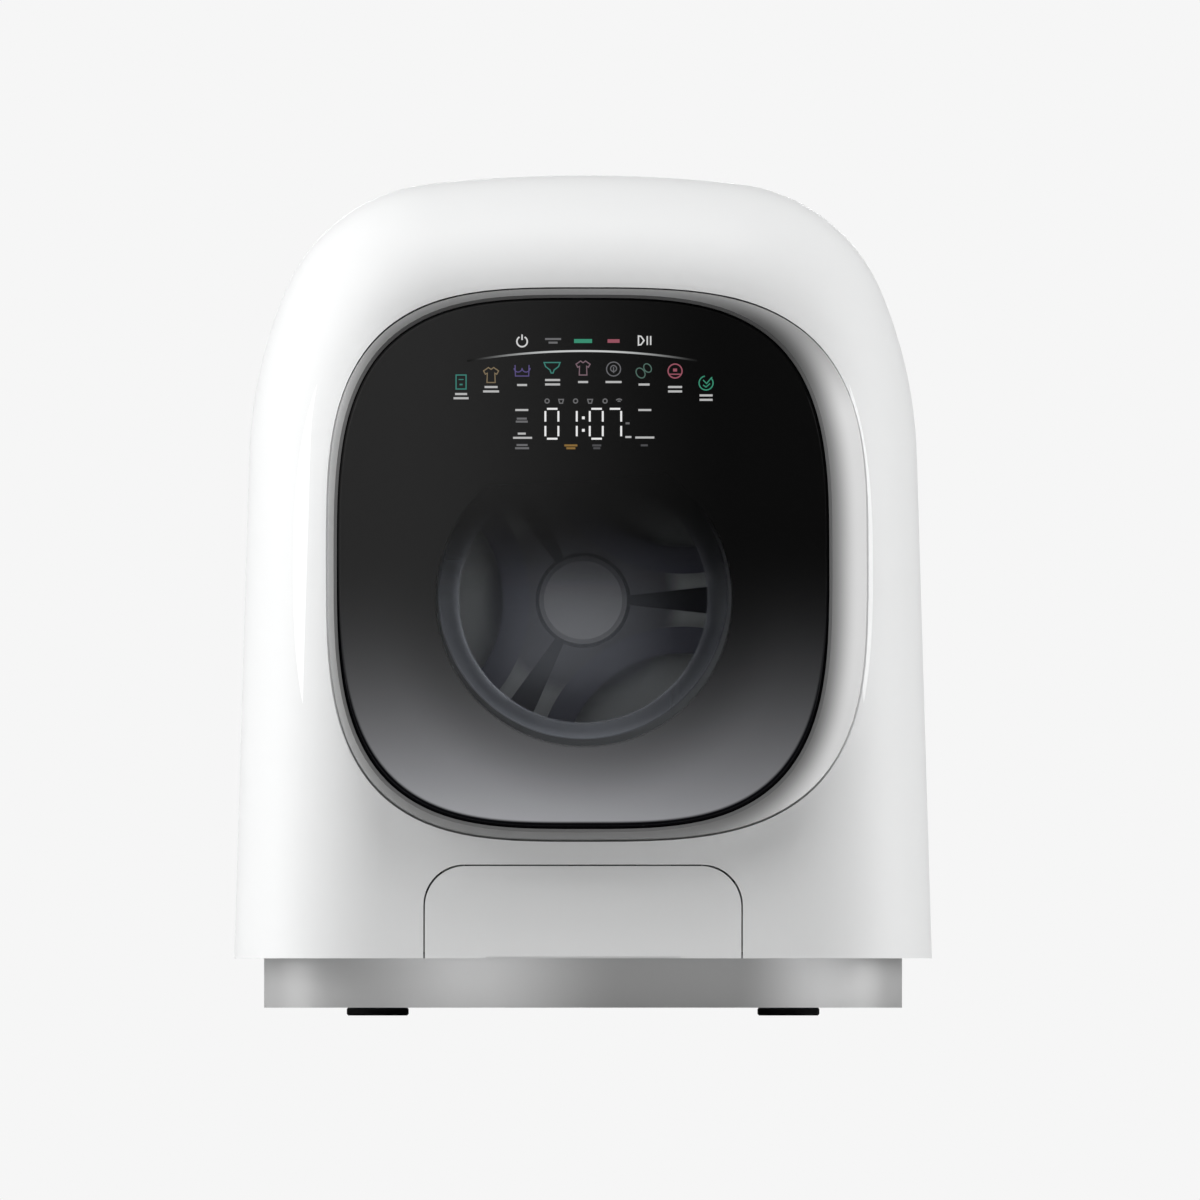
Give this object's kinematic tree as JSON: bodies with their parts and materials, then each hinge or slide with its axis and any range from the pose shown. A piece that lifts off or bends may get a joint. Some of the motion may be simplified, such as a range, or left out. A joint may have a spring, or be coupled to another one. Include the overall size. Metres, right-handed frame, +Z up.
{
  "type": "wall mounted mini washing machine",
  "caption": "Compact front loading washer with a leaning dark glass door, direct drive drum, detergent drawer, low plinth with rubber feet and bolt pads for a wall",
  "frame": {"origin": "bottom centre of the bounding box, on the floor between the feet", "axes": "+Z up, the door faces -Y, the wall side is +Y, +X is to the right seen from the front"},
  "size_m": [0.445, 0.3362, 0.5359],
  "materials": {
    "white_case": "satin white moulding",
    "white_door": "glossy white moulding",
    "dark_glass": "dark tempered glass, clearer in the middle",
    "clear_glass": "clear pressed glass bowl",
    "brushed_band": "brushed satin silver",
    "grey_plastic": "matt grey moulding",
    "tub_plastic": "light grey glass filled moulding",
    "tank_plastic": "milky moulding",
    "dark_plastic": "black moulding",
    "drum_steel": "perforated stainless steel",
    "zinc_steel": "zinc plated sheet",
    "plain_steel": "bare steel",
    "stator_iron": "dark laminations and ferrite",
    "copper_wire": "enamelled copper wire",
    "black_rubber": "black rubber",
    "grey_rubber": "grey rubber",
    "green_board": "green circuit board"
  },
  "bodies": {
    "cabinet": {"base_pan": "grey_plastic", "bearings": "plain_steel", "board_box": "grey_plastic", "cable_gland": "dark_plastic", "case_screws": "plain_steel", "control_board": "green_board", "door_gasket": "grey_rubber", "dosing_hose": "grey_rubber", "dosing_pump": "tub_plastic", "drain_hose": "grey_rubber", "drain_pump": "tub_plastic", "drain_spigot": "grey_plastic", "drawer_guide": "grey_plastic", "front_shell": "white_case", "gasket_band": "plain_steel", "hinge_bracket": "zinc_steel", "hinge_pin": "plain_steel", "inlet_hose": "grey_rubber", "inlet_valve": "grey_plastic", "isolator_bolts": "plain_steel", "lock_housing": "grey_plastic", "plinth_band": "brushed_band", "plinth_plate": "grey_plastic", "pump_motor": "plain_steel", "rear_cover": "white_case", "rear_frame": "zinc_steel", "rubber_feet": "black_rubber", "service_tray": "grey_plastic", "shaft_seal": "black_rubber", "stator_coils": "copper_wire", "stator_core": "stator_iron", "stator_screws": "plain_steel", "sump_hose": "grey_rubber", "tub_front": "tub_plastic", "tub_isolators": "black_rubber", "tub_rear": "tub_plastic", "tub_seal": "black_rubber", "wash_heater": "plain_steel"},
    "door": {"door_frame": "white_door", "door_glass": "dark_glass", "door_liner": "grey_plastic", "door_screws": "plain_steel", "door_bowl": "clear_glass", "bowl_ring": "grey_plastic", "display_board": "green_board", "hinge_arm": "zinc_steel", "door_striker": "zinc_steel"},
    "drum": {"drum_shell": "drum_steel", "drum_back": "drum_steel", "drum_lifters": "drum_steel", "hub_cap": "dark_plastic", "drum_shaft": "plain_steel", "rotor_cup": "zinc_steel", "rotor_magnets": "stator_iron", "rotor_bolt": "plain_steel"},
    "drawer": {"drawer_front": "white_case", "detergent_tank": "tank_plastic"},
    "flap": {"filler_flap": "tank_plastic"},
    "bolt": {"lock_bolt": "plain_steel"},
    "impeller": {"pump_impeller": "dark_plastic"}
  },
  "joints": [
    {"name": "door_swing", "type": "hinge", "parent": "cabinet", "child": "door", "pos_m": [-0.158, -0.12488, 0.29019], "axis": [0, -0.1045, -0.9945], "range_deg": [0, 95]},
    {"name": "drum_spin", "type": "hinge", "parent": "cabinet", "child": "drum", "pos_m": [0, 0, 0.265], "axis": [0, 1, 0], "continuous": true},
    {"name": "drawer_slide", "type": "slide", "parent": "cabinet", "child": "drawer", "axis": [0, -1, 0], "range_m": [0, 0.11]},
    {"name": "filler_flap_swing", "type": "hinge", "parent": "drawer", "child": "flap", "pos_m": [0, -0.088, 0.0885], "axis": [-1, 0, 0], "range_deg": [0, 85]},
    {"name": "lock_bolt_slide", "type": "slide", "parent": "cabinet", "child": "bolt", "axis": [0, 0.1045, 0.9945], "range_m": [0, 0.008]},
    {"name": "pump_spin", "type": "hinge", "parent": "cabinet", "child": "impeller", "pos_m": [0.05, 0.074, 0.074], "axis": [1, 0, 0], "continuous": true}
  ]
}
